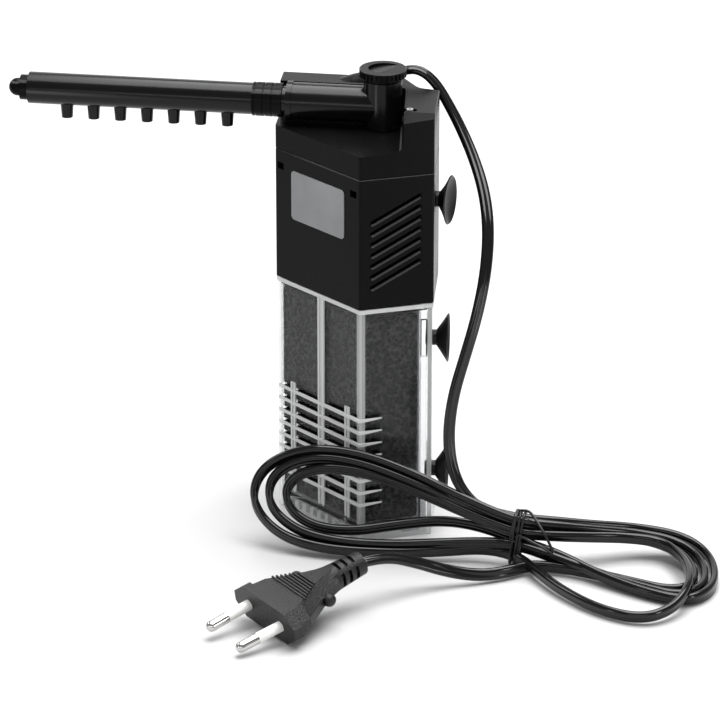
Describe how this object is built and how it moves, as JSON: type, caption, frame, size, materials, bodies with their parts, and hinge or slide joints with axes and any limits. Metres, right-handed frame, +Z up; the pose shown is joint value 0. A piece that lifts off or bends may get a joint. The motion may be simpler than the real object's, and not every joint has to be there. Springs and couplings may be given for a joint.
{
  "type": "internal aquarium filter",
  "caption": "Corner-shaped internal aquarium filter: black pump head on a clear foam container, swivelling outlet with spray bar and knob, suction cups, tied mains lead with flat plug.",
  "frame": {"origin": "middle of the body's footprint box, on the surface the container stands on", "axes": "+Z up, the filter's height; -X along the spray bar at rest; +Y towards the flat back wall"},
  "size_m": [0.2716, 0.1615, 0.1731],
  "materials": {
    "black_plastic": "satin moulded",
    "black_gloss": "glossy moulded",
    "smoke_plastic": "glossy",
    "label_foil": "brushed silver film",
    "black_rubber": "soft satin",
    "seal_rubber": "smooth",
    "steel_laminate": "stacked laminations",
    "stainless_steel": "satin",
    "white_plastic": "satin",
    "copper_wire": "enamelled",
    "shaft_ceramic": "ground",
    "magnet_ferrite": "ground",
    "clear_plastic": "clear moulded",
    "black_foam": "open-cell sponge",
    "cord_pvc": "satin",
    "tie_pvc": "satin",
    "plug_pvc": "fine matt",
    "plated_brass": "nickel plated"
  },
  "bodies": {
    "head": {"motor_housing": "black_plastic", "upper_cover": "black_plastic", "label_plate": "label_foil", "air_tube": "smoke_plastic", "cable_boot": "black_rubber", "suction_cup_upper": "black_rubber", "stator_core": "steel_laminate", "coil_bobbin": "white_plastic", "coil_winding": "copper_wire", "rotor_can": "black_plastic", "pump_cover": "black_plastic", "pump_cover_screws": "stainless_steel", "impeller_shaft": "shaft_ceramic", "shaft_bush_lower": "black_rubber", "shaft_bush_upper": "black_rubber", "riser_tube": "black_plastic", "cord_lead": "cord_pvc", "cord_hank_leaning": "cord_pvc", "cord_hank_flat": "cord_pvc", "cord_tail": "cord_pvc", "cord_tie": "tie_pvc", "plug_body": "plug_pvc", "plug_pins": "plated_brass", "pin_sleeves": "white_plastic"},
    "elbow": {"outlet_elbow": "black_gloss", "elbow_seal": "seal_rubber", "coupling_seal": "seal_rubber"},
    "knob": {"flow_knob": "black_plastic", "flow_valve": "black_plastic"},
    "spray_arm": {"bar_coupling": "black_plastic", "spray_bar": "black_gloss", "spray_bar_cap": "black_plastic"},
    "rotor": {"impeller": "white_plastic", "rotor_magnet": "magnet_ferrite"},
    "container": {"filter_container": "clear_plastic", "foam_partition": "clear_plastic", "foam_cartridge": "black_foam", "suction_cup_middle": "black_rubber", "suction_cup_lower": "black_rubber"}
  },
  "joints": [
    {"name": "elbow_swivel", "type": "hinge", "parent": "head", "child": "elbow", "pos_m": [0.009, 0.0072, 0.1588], "axis": [0, 0, 1], "range_deg": [-2, 94]},
    {"name": "knob_turn", "type": "hinge", "parent": "elbow", "child": "knob", "pos_m": [0.009, 0.0072, 0.1716], "axis": [0, 0, 1], "range_deg": [0, 90]},
    {"name": "spray_arm_roll", "type": "hinge", "parent": "elbow", "child": "spray_arm", "pos_m": [-0.033, 0.0072, 0.1588], "axis": [1, 0, 0], "continuous": true},
    {"name": "impeller_spin", "type": "hinge", "parent": "head", "child": "rotor", "pos_m": [-0.009, 0.004, 0.115], "axis": [0, 0, 1], "continuous": true},
    {"name": "container_pull", "type": "slide", "parent": "head", "child": "container", "axis": [0, 0, -1], "range_m": [0, 0.06]}
  ]
}
